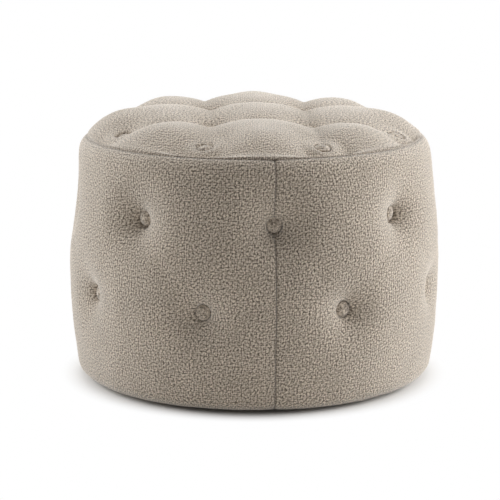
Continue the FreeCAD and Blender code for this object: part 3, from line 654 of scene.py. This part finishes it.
def button_profile():
    """A covered button from the middle of its recessed back, round its edge, to its face."""
    back = [[BACK_RADIUS / 2, BACK_RECESS], [BACK_RADIUS, BACK_RECESS], [BACK_RADIUS, 0.0]]
    turn = np.linspace(-math.pi / 2, math.pi / 2, 9)
    inner = BUTTON_RADIUS - BUTTON_BEAD
    edge = np.stack([inner + BUTTON_BEAD * np.cos(turn), BUTTON_BEAD + BUTTON_BEAD * np.sin(turn)], 1)
    share = np.linspace(1, 0, 12)[1:-1]
    rise = BUTTON_HEIGHT - 2 * BUTTON_BEAD
    face = np.stack([inner * share, 2 * BUTTON_BEAD + rise * (1 - share ** BUTTON_DOME)], 1)
    return even(np.concatenate([back, edge, face]), BUTTON_GRID)


def covered_button(name, place, outward):
    """One fleece-covered button, with its face's middle at place."""
    profile = button_profile()
    turn = np.linspace(0, 2 * math.pi, BUTTON_SIDES, endpoint=False)[None, :]
    local = around(profile[:, :1], turn, profile[:, 1:])
    axis = np.array(outward, float)
    side = np.cross([1.0, 0.0, 0.0] if axis[2] > 0.5 else [0.0, 0.0, 1.0], axis)
    side /= np.linalg.norm(side)
    base = np.array(place) - axis * BUTTON_HEIGHT
    points = base + local @ np.stack([side, np.cross(axis, side), axis])
    looped = np.concatenate([points[:, -1:], points, points[:, :1]], 1)
    # These curl heights also set the button's colour, with painted shade in the gaps and a painted
    # highlight on the tips.
    height = curls(points)
    beyond_back = np.arange(len(profile))[:, None] * BUTTON_GRID - BACK_RADIUS
    shown = smooth_step(0.0, BUTTON_CURL_EASE, beyond_back)
    lift = (height - BUTTON_CURL_MIDDLE) * BUTTON_CURL_HEIGHT * shown
    points = points + grid_normals(looped)[:, 1:-1] * lift[..., None]
    piece = turned("cover_of_" + name, points, base + axis * BACK_RECESS,
                   base + axis * (BUTTON_HEIGHT + lift[-1].mean()), height)
    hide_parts(name)
    return piece


def all_buttons():
    """The sixteen covered buttons of the side and the twelve of the seat."""
    made = []
    for name, count, first, row, radius, _, _ in SIDE_RINGS:
        for k, angle in enumerate(ring_angles(count, first)):
            out = np.array([math.cos(angle), math.sin(angle), 0.0])
            made.append(covered_button(f"{name}_{k + 1}", out * radius + [0, 0, row], out))
    for name, count, first, radius, height, _, lean in SEAT_RINGS:
        for k, (spot, out) in enumerate(zip(*seat_spots(count, first, radius))):
            axis = (*(math.sin(lean) * out), math.cos(lean))
            made.append(covered_button(f"{name}_{k + 1}", (*spot, height), axis))
    return made


def dust_sheet():
    """Thin cloth disc stretched under the base board."""
    low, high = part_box("dust_cover")
    x, y = disc_plan(DUST_COUNT)
    flat = np.stack([x, y, 0 * x], -1)
    ripple = soft_noise(flat, RIPPLE_PITCH, RIPPLE_SALT)[..., 0] * RIPPLE_HEIGHT
    level = (low.z + high.z) / 2
    points = np.stack([x * high.x, y * high.x, level + ripple], -1)
    index = np.arange(x.size).reshape(x.shape)
    under = index + x.size
    half = np.array([0, 0, (high.z - low.z) / 2])
    rim = rim_faces(edge_loop(index), edge_loop(index), edge_loop(under))
    vertices = np.stack([points + half, points - half]).reshape(-1, 3)
    piece = make_mesh("dust_sheet", vertices, [grid_faces(index), grid_faces(under)[:, ::-1], rim])
    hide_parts("dust_cover")
    return piece


def make_node(tree, kind, **inputs):
    """A shader node with values on its named inputs."""
    node = tree.nodes.new(kind)
    for key, value in inputs.items():
        node.inputs[key.replace("_", " ")].default_value = value
    return node


def new_material(name, roughness, specular=0.5, metallic=0.0):
    """A material with its node tree, its main shader and the coordinates of the object."""
    material = bpy.data.materials.new(name)
    material.use_nodes = True
    tree = material.node_tree
    shader = tree.nodes["Principled BSDF"]
    shader.inputs["Roughness"].default_value = roughness
    shader.inputs["Specular IOR Level"].default_value = specular
    shader.inputs["Metallic"].default_value = metallic
    coordinates = tree.nodes.new("ShaderNodeTexCoord").outputs["Object"]
    return material, tree, shader, coordinates


def ramp(tree, source, stops):
    """A colour ramp from (position, colour) stops, fed by source."""
    node = tree.nodes.new("ShaderNodeValToRGB")
    elements = node.color_ramp.elements
    while len(elements) < len(stops):
        elements.new(0.5)
    for element, (position, colour) in zip(elements, stops):
        element.position = position
        element.color = (*colour, 1.0)
    tree.links.new(source, node.inputs["Fac"])
    return node.outputs["Color"]


def grey_ramp(tree, source, low, high, start=0.3, end=0.7):
    """A ramp from one grey to another, fed by source."""
    return ramp(tree, source, ((start, (low,) * 3), (end, (high,) * 3)))


def add_bump(tree, shader, source, distance, strength=1.0):
    """Fine bumps on top of the shape, raised by source."""
    node = make_node(tree, "ShaderNodeBump", Strength=strength, Distance=distance)
    tree.links.new(source, node.inputs["Height"])
    tree.links.new(node.outputs["Normal"], shader.inputs["Normal"])


def noise(tree, coordinates, scale, detail=2.0, stretch=(1.0, 1.0, 1.0)):
    """Noise in object coordinates, which can be stretched along an axis."""
    mapping = make_node(tree, "ShaderNodeMapping", Scale=stretch)
    tree.links.new(coordinates, mapping.inputs["Vector"])
    node = make_node(tree, "ShaderNodeTexNoise", Scale=scale, Detail=detail)
    tree.links.new(mapping.outputs["Vector"], node.inputs["Vector"])
    return node.outputs["Fac"]


def multiplied(tree, first, second):
    """Product of two colours."""
    node = tree.nodes.new("ShaderNodeMix")
    node.data_type = "RGBA"
    node.blend_type = "MULTIPLY"
    node.inputs["Factor"].default_value = 1.0
    first_socket, second_socket = [s for s in node.inputs if s.type == "RGBA"]
    tree.links.new(first, first_socket)
    tree.links.new(second, second_socket)
    return [s for s in node.outputs if s.type == "RGBA"][0]


# Fleece colours by curl height: the gap colour is painted shade between the curls, the body colour is
# the fleece's own, and the tip colour is a painted highlight.
FLEECE_GAP_SHADE = (0.145, 0.116, 0.089)
FLEECE_BODY = (0.445, 0.377, 0.303)
FLEECE_TIP_HIGHLIGHT = (0.76, 0.663, 0.553)
FLEECE_STOPS = ((0.54, FLEECE_GAP_SHADE), (0.70, FLEECE_BODY), (0.85, FLEECE_TIP_HIGHLIGHT))


def fleece_material():
    """Curly fleece: painted shade in the gaps, its own colour on the body and a painted highlight on
    the tips, with fine fibres and a soft nap.
    """
    material, tree, shader, coordinates = new_material("fleece", 1.0, 0.15)
    curl = tree.nodes.new("ShaderNodeAttribute")
    curl.attribute_name = "curl"
    fibre = noise(tree, coordinates, 950.0, 3.0)
    body = ramp(tree, curl.outputs["Fac"], FLEECE_STOPS)
    colour = multiplied(tree, body, grey_ramp(tree, fibre, 0.75, 1.12))
    colour = multiplied(tree, colour, grey_ramp(tree, noise(tree, coordinates, 22.0), 0.94, 1.05))
    tree.links.new(colour, shader.inputs["Base Color"])
    shader.inputs["Sheen Weight"].default_value = 0.8
    shader.inputs["Sheen Roughness"].default_value = 0.5
    shader.inputs["Sheen Tint"].default_value = (1.0, 0.99, 0.97, 1.0)
    add_bump(tree, shader, fibre, 0.9 * MM, 0.8)
    return material


def foam_material():
    """Open-cell foam: pale cream with small cells and faint mottling."""
    material, tree, shader, coordinates = new_material("foam", 0.95, 0.2)
    cells = make_node(tree, "ShaderNodeTexVoronoi", Scale=700.0)
    tree.links.new(coordinates, cells.inputs["Vector"])
    body = ramp(tree, cells.outputs["Distance"], ((0.0, (0.55, 0.47, 0.30)),
                                                  (0.5, (0.83, 0.76, 0.58))))
    colour = multiplied(tree, body, grey_ramp(tree, noise(tree, coordinates, 14.0), 0.9, 1.0))
    tree.links.new(colour, shader.inputs["Base Color"])
    add_bump(tree, shader, cells.outputs["Distance"], 0.6 * MM, 0.7)
    return material


def wood_material(name, pale, dark, stretch, roughness=0.65):
    """Timber: grain drawn out along one axis, with pores in the bump."""
    material, tree, shader, coordinates = new_material(name, roughness, 0.35)
    grain = noise(tree, coordinates, 60.0, 6.0, stretch)
    pores = noise(tree, coordinates, 420.0, 2.0, stretch)
    body = ramp(tree, grain, ((0.32, dark), (0.66, pale)))
    colour = multiplied(tree, body, grey_ramp(tree, pores, 0.82, 1.05))
    tree.links.new(colour, shader.inputs["Base Color"])
    add_bump(tree, shader, pores, 0.25 * MM, 0.6)
    return material


def plywood_material():
    """Birch plywood: long face grain, and thin plies stacked by height on the cut edge."""
    material, tree, shader, coordinates = new_material("plywood", 0.6, 0.35)
    grain = noise(tree, coordinates, 45.0, 5.0, (0.12, 1.0, 1.0))
    plies = make_node(tree, "ShaderNodeTexWave", Scale=90.0, Distortion=0.4)
    plies.bands_direction = "Z"
    tree.links.new(coordinates, plies.inputs["Vector"])
    body = ramp(tree, grain, ((0.3, (0.55, 0.38, 0.21)), (0.7, (0.74, 0.57, 0.37))))
    colour = multiplied(tree, body, grey_ramp(tree, plies.outputs["Fac"], 0.8, 1.0, 0.2, 0.6))
    tree.links.new(colour, shader.inputs["Base Color"])
    add_bump(tree, shader, grain, 0.2 * MM, 0.5)
    return material


def hardboard_material():
    """Hardboard: dense brown fibre with dark flecks."""
    material, tree, shader, coordinates = new_material("hardboard", 0.55, 0.4)
    flecks = noise(tree, coordinates, 260.0, 5.0, (1.0, 1.0, 0.5))
    body = ramp(tree, flecks, ((0.35, (0.13, 0.07, 0.035)), (0.68, (0.30, 0.18, 0.095))))
    tree.links.new(body, shader.inputs["Base Color"])
    add_bump(tree, shader, flecks, 0.15 * MM, 0.5)
    return material


def metal_material(name, pale, dark):
    """Zinc-plated steel: faint spangle in the colour and brushed marks in the roughness."""
    material, tree, shader, coordinates = new_material(name, 0.35, 0.5, 1.0)
    spangle = noise(tree, coordinates, 500.0, 3.0)
    tree.links.new(ramp(tree, spangle, ((0.3, dark), (0.7, pale))), shader.inputs["Base Color"])
    tree.links.new(grey_ramp(tree, noise(tree, coordinates, 900.0, 2.0, (1.0, 1.0, 0.1)),
                             0.25, 0.45), shader.inputs["Roughness"])
    add_bump(tree, shader, spangle, 0.05 * MM, 0.4)
    return material


def twine_material():
    """Waxed twine: cream strands laid at a slant."""
    material, tree, shader, coordinates = new_material("twine", 0.8, 0.3)
    strands = make_node(tree, "ShaderNodeTexWave", Scale=520.0, Distortion=1.5)
    strands.bands_direction = "DIAGONAL"
    tree.links.new(coordinates, strands.inputs["Vector"])
    body = ramp(tree, strands.outputs["Fac"], ((0.1, (0.38, 0.30, 0.19)),
                                               (0.8, (0.78, 0.70, 0.54))))
    tree.links.new(body, shader.inputs["Base Color"])
    add_bump(tree, shader, strands.outputs["Fac"], 0.3 * MM, 0.8)
    return material


def plastic_material(name, colour, darker, roughness):
    """Moulded plastic: one tint with fine texture in colour, roughness and bump."""
    material, tree, shader, coordinates = new_material(name, roughness, 0.45)
    grain = noise(tree, coordinates, 700.0, 3.0)
    tree.links.new(ramp(tree, grain, ((0.3, darker), (0.7, colour))), shader.inputs["Base Color"])
    scuffs = noise(tree, coordinates, 60.0, 4.0, (1.0, 0.2, 1.0))
    tree.links.new(grey_ramp(tree, scuffs, roughness - 0.08, roughness + 0.12),
                   shader.inputs["Roughness"])
    add_bump(tree, shader, grain, 0.06 * MM, 0.5)
    return material


def dust_cloth_material():
    """Black non-woven cloth: matted fibres and a grid of small weld points."""
    material, tree, shader, coordinates = new_material("dust_cloth", 0.85, 0.3)
    fibres = noise(tree, coordinates, 800.0, 5.0, (1.0, 0.35, 1.0))
    welds = make_node(tree, "ShaderNodeTexVoronoi", Scale=380.0, Randomness=0.0)
    tree.links.new(coordinates, welds.inputs["Vector"])
    body = ramp(tree, fibres, ((0.3, (0.012, 0.012, 0.013)), (0.7, (0.045, 0.045, 0.047))))
    colour = multiplied(tree, body, grey_ramp(tree, welds.outputs["Distance"], 0.6, 1.0, 0.1, 0.3))
    tree.links.new(colour, shader.inputs["Base Color"])
    add_bump(tree, shader, fibres, 0.15 * MM, 0.7)
    return material


def dress(piece, material):
    """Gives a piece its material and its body."""
    piece.data.materials.clear()
    piece.data.materials.append(material)
    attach(piece, "root")


def finish_nodes():
    """Gives each carried-over part its material."""
    steel = metal_material("zinc_steel", (0.62, 0.62, 0.60), (0.42, 0.43, 0.43))
    softwood = wood_material("softwood", (0.76, 0.58, 0.36), (0.58, 0.38, 0.20), (1.0, 1.0, 0.06))
    finishes = {
        "top_board": plywood_material(),
        "drum_wall": hardboard_material(),
        "button_backs": metal_material("button_steel", (0.55, 0.55, 0.54), (0.36, 0.36, 0.36)),
        "tufting_twines": twine_material(),
        "twine_toggles": plastic_material("toggle_plastic", (0.75, 0.74, 0.70),
                                          (0.64, 0.63, 0.59), 0.4),
        "glide_nails": steel,
        "frame_screws": steel,
        "cover_staples": steel,
    }
    finishes["base_board"] = finishes["top_board"]
    glide = plastic_material("glide_plastic", (0.060, 0.052, 0.045), (0.038, 0.033, 0.029), 0.38)
    finishes.update({f"glide_{k}": glide for k in range(1, 7)})
    finishes.update({f"upright_{k}": softwood for k in range(1, 9)})
    for node, material in finishes.items():
        part = bpy.data.objects[node]
        part.data.materials.clear()
        part.data.materials.append(material)


def place_camera():
    """The camera of the main view."""
    data = bpy.data.cameras.new("camera")
    data.sensor_width = SENSOR_WIDTH
    data.lens = FOCAL_PIXELS * SENSOR_WIDTH / IMAGE_WIDTH
    data.clip_end = 60.0
    camera = bpy.data.objects.new("camera", data)
    camera.location = CAMERA_PLACE
    camera.rotation_euler = (math.radians(90.0 - CAMERA_PITCH), 0.0, 0.0)
    bpy.context.scene.collection.objects.link(camera)
    bpy.context.scene.camera = camera


def add_lamp(name, place, size, power):
    """A round soft lamp that faces the middle of the tuffet."""
    data = bpy.data.lights.new(name, "AREA")
    data.shape = "DISK"
    data.size = size
    data.energy = power
    lamp = bpy.data.objects.new(name, data)
    lamp.location = place
    away = np.array(place) - [0.0, 0.0, CROWN_HEIGHT / 2]
    lamp.rotation_euler = (math.atan2(math.hypot(away[0], away[1]), away[2]), 0.0,
                           math.atan2(away[0], -away[1]))
    bpy.context.scene.collection.objects.link(lamp)


def seen_directly(tree):
    """1 for camera, glossy and transmission rays, else 0."""
    path = tree.nodes.new("ShaderNodeLightPath")
    total = path.outputs["Is Camera Ray"]
    for ray in ("Is Glossy Ray", "Is Transmission Ray"):
        larger = tree.nodes.new("ShaderNodeMath")
        larger.operation = "MAXIMUM"
        tree.links.new(total, larger.inputs[0])
        tree.links.new(path.outputs[ray], larger.inputs[1])
        total = larger.outputs["Value"]
    return total


def mixed_shader(tree, factor, first, second, output):
    """Mixes two shaders by factor into an output."""
    mix = tree.nodes.new("ShaderNodeMixShader")
    tree.links.new(factor, mix.inputs["Fac"])
    tree.links.new(first, mix.inputs[1])
    tree.links.new(second, mix.inputs[2])
    tree.links.new(mix.outputs["Shader"], output.inputs["Surface"])


AMBIENT_COLOUR = (1.0, 0.985, 0.965, 1.0)
AMBIENT_STRENGTH = 0.295


def light_scene():
    """Three soft lamps and an even, warm world that looks white when seen directly."""
    add_lamp("lamp_right", (2.0, 0.15, 0.9), 1.6, 42.0)
    add_lamp("lamp_left", (-2.0, 0.42, 0.9), 1.6, 32.0)
    add_lamp("lamp_above", (0.0, 0.5, 2.2), 1.8, 23.0)
    world = bpy.data.worlds.new("studio")
    world.use_nodes = True
    tree = world.node_tree
    ambient = tree.nodes["Background"]
    ambient.inputs["Color"].default_value = AMBIENT_COLOUR
    ambient.inputs["Strength"].default_value = AMBIENT_STRENGTH
    white = make_node(tree, "ShaderNodeBackground", Color=(1, 1, 1, 1), Strength=1.0)
    mixed_shader(tree, seen_directly(tree), ambient.outputs["Background"],
                 white.outputs["Background"], tree.nodes["World Output"])
    bpy.context.scene.world = world


FLOOR_REACH = 14.0
FLOOR_COLOUR = (0.90, 0.895, 0.885, 1.0)
FLOOR_FADE = (0.25, 0.305)


def make_floor():
    """Pale floor that keeps the shadow near the tuffet and runs out to plain white."""
    corners = np.array([[-1, -1, 0], [1, -1, 0], [1, 1, 0], [-1, 1, 0]]) * FLOOR_REACH
    floor = make_mesh("floor", corners, [np.array([[0, 1, 2, 3]])])
    material, tree, shader, coordinates = new_material("floor", 0.9, 0.1)
    shader.inputs["Base Color"].default_value = FLOOR_COLOUR
    white = make_node(tree, "ShaderNodeEmission", Color=(1, 1, 1, 1), Strength=1.0)
    distance = tree.nodes.new("ShaderNodeVectorMath")
    distance.operation = "LENGTH"
    tree.links.new(coordinates, distance.inputs[0])
    fade = tree.nodes.new("ShaderNodeMapRange")
    fade.interpolation_type = "SMOOTHSTEP"
    fade.inputs["From Min"].default_value = FLOOR_FADE[0]
    fade.inputs["From Max"].default_value = FLOOR_FADE[1]
    tree.links.new(distance.outputs["Value"], fade.inputs["Value"])
    both = tree.nodes.new("ShaderNodeMath")
    both.operation = "MULTIPLY"
    tree.links.new(fade.outputs["Result"], both.inputs[0])
    tree.links.new(seen_directly(tree), both.inputs[1])
    mixed_shader(tree, both.outputs["Value"], shader.outputs["BSDF"], white.outputs["Emission"],
                 tree.nodes["Material Output"])
    floor.data.materials.append(material)


def build():
    """Makes every piece, dresses it, and sets up the camera, the light and the floor."""
    place_camera()
    cloth = fleece_material()
    covers = [seat_cover(),
              side_panel("side_cover_left", "side_panel_left", FRONT - math.pi, FRONT),
              side_panel("side_cover_right", "side_panel_right", FRONT, FRONT + math.pi)]
    for piece in covers + all_buttons():
        dress(piece, cloth)
    foam = foam_material()
    pads = [seat_pad(), side_pad()]
    for piece in pads:
        dress(piece, foam)
    dress(dust_sheet(), dust_cloth_material())
    finish_nodes()
    light_scene()
    make_floor()
    bpy.context.scene.view_settings.view_transform = "Standard"


build()
